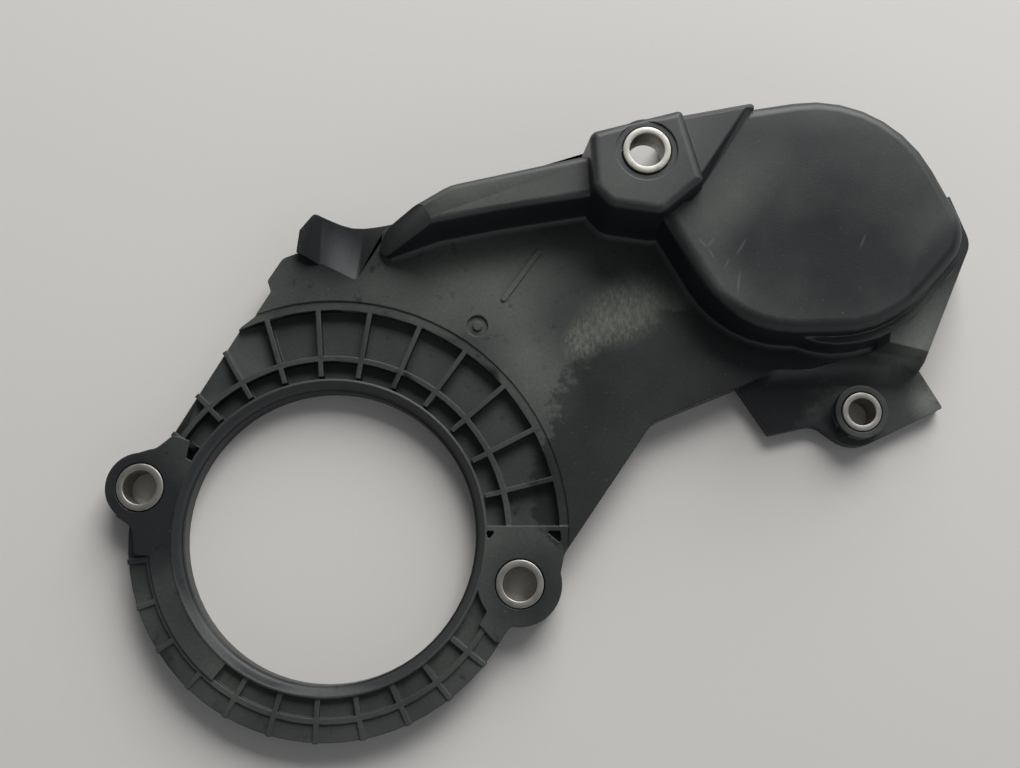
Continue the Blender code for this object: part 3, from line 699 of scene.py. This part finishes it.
# %% Mix the steel
STEEL = "#a3a19a"
STEEL_STAIN = "#7a7362"
STEEL_ROUGHNESS = 0.42
STAIN_SIZE = 3.0
SAW_MARK_SIZE = 0.5
SAW_MARK_HEIGHT = 0.03


def steel_material():
    material, tree = new_material("dull zinc plated steel")
    place = millimetres(tree)
    stain = noise(tree, place, STAIN_SIZE, 5.0, 0.6)
    fine = noise(tree, place, SAW_MARK_SIZE, 3.0, 0.6)
    stained = remap(tree, stain, 0.45, 0.75, 0.0, 0.55)
    colour = blend(tree, stained, linear(STEEL), linear(STEEL_STAIN))
    rough = remap(tree, stain, 0.3, 0.7, STEEL_ROUGHNESS - 0.06, STEEL_ROUGHNESS + 0.14)
    bump = add(tree, "ShaderNodeBump", {
        "Height": fine, "Strength": 0.25, "Distance": SAW_MARK_HEIGHT * MM}).outputs[0]
    shader = add(tree, "ShaderNodeBsdfPrincipled", {
        "Base Color": colour, "Metallic": 1.0, "Roughness": rough, "Normal": bump})
    finish_material(tree, shader)
    return material


steel = steel_material()
print("nodes in the steel:", len(steel.node_tree.nodes))

# %% [markdown]
# ## The sleeves
#
# Each sleeve is the same turned ring at another size. Four lathe jobs in a row
# would repeat themselves, so one Geometry Nodes tree makes any of them: it
# sweeps a rounded rectangle, the cut wall of the tube, round a circle. The
# sizes are named inputs, read from the box of the node that it stands for.

# %% A Geometry Nodes tree for a sleeve
SLEEVE_STEPS = 96
SLEEVE_EDGE = 0.22


def new_tree(name, sizes):
    """An empty geometry tree with named number inputs, a centre and a material."""
    tree = bpy.data.node_groups.new(name, "GeometryNodeTree")
    tree.interface.new_socket("Geometry", in_out="OUTPUT", socket_type="NodeSocketGeometry")
    tree.interface.new_socket("Geometry", in_out="INPUT", socket_type="NodeSocketGeometry")
    for size in sizes:
        tree.interface.new_socket(size, in_out="INPUT", socket_type="NodeSocketFloat")
    tree.interface.new_socket("Centre", in_out="INPUT", socket_type="NodeSocketVector")
    tree.interface.new_socket("Material", in_out="INPUT", socket_type="NodeSocketMaterial")
    return tree, tree.nodes.new("NodeGroupInput").outputs


def sleeve_tree():
    tree, given = new_tree("turned sleeve", ("Outer radius", "Bore radius", "Length", "Edge"))
    both_radii = calculate(tree, "ADD", given["Outer radius"], given["Bore radius"])
    mean = calculate(tree, "MULTIPLY", both_radii, 0.5)
    wall = calculate(tree, "SUBTRACT", given["Outer radius"], given["Bore radius"])
    circle = add(tree, "GeometryNodeCurvePrimitiveCircle", {"Resolution": SLEEVE_STEPS, "Radius": mean})
    section = add(tree, "GeometryNodeCurvePrimitiveQuadrilateral", {
        "Width": wall, "Height": given["Length"]})
    rounded = add(tree, "GeometryNodeFilletCurve", {
        "Curve": section.outputs[0], "Radius": given["Edge"], "Count": 3}, mode="POLY")
    swept = add(tree, "GeometryNodeCurveToMesh", {
        "Curve": circle.outputs[0], "Profile Curve": rounded.outputs[0]})
    smooth = add(tree, "GeometryNodeSetShadeSmooth", {"Geometry": swept.outputs[0]})
    placed = add(tree, "GeometryNodeTransform", {
        "Geometry": smooth.outputs[0], "Translation": given["Centre"]})
    solid = add(tree, "GeometryNodeRealizeInstances", {"Geometry": placed.outputs[0]})
    painted = add(tree, "GeometryNodeSetMaterial", {
        "Geometry": solid.outputs[0], "Material": given["Material"]})
    add(tree, "NodeGroupOutput", {"Geometry": painted.outputs[0]})
    return tree


def grown(name, tree, values):
    """A plain mesh object grown by a geometry tree from named input values."""
    item = bpy.data.objects.new(name, bpy.data.meshes.new(name))
    scene.collection.objects.link(item)
    modifier = item.modifiers.new(tree.name, "NODES")
    modifier.node_group = tree
    for socket in tree.interface.items_tree:
        if socket.in_out == "INPUT" and socket.name in values:
            modifier[socket.identifier] = values[socket.name]
    return applied(item)


turned_sleeve = sleeve_tree()
print("nodes in the sleeve tree:", len(turned_sleeve.nodes))

# %% Grow the four sleeves
WIDE_WALL = 1.7
NARROW_WALL = 1.5

for node, wall in (("sleeve_left_ear", WIDE_WALL), ("sleeve_right_ear", WIDE_WALL),
                   ("sleeve_upper_boss", WIDE_WALL), ("sleeve_flange", NARROW_WALL)):
    low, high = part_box(node)
    radius = (high.x - low.x) / 2
    ring = grown("dressed_" + node, turned_sleeve, {
        "Outer radius": radius, "Bore radius": radius - wall * MM, "Length": high.z - low.z,
        "Edge": SLEEVE_EDGE * MM, "Centre": middle(node), "Material": steel})
    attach(ring, "root")
    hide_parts(node)
    size = [round(v / MM, 2) for v in ring.dimensions]
    print(node, "size in mm:", size)
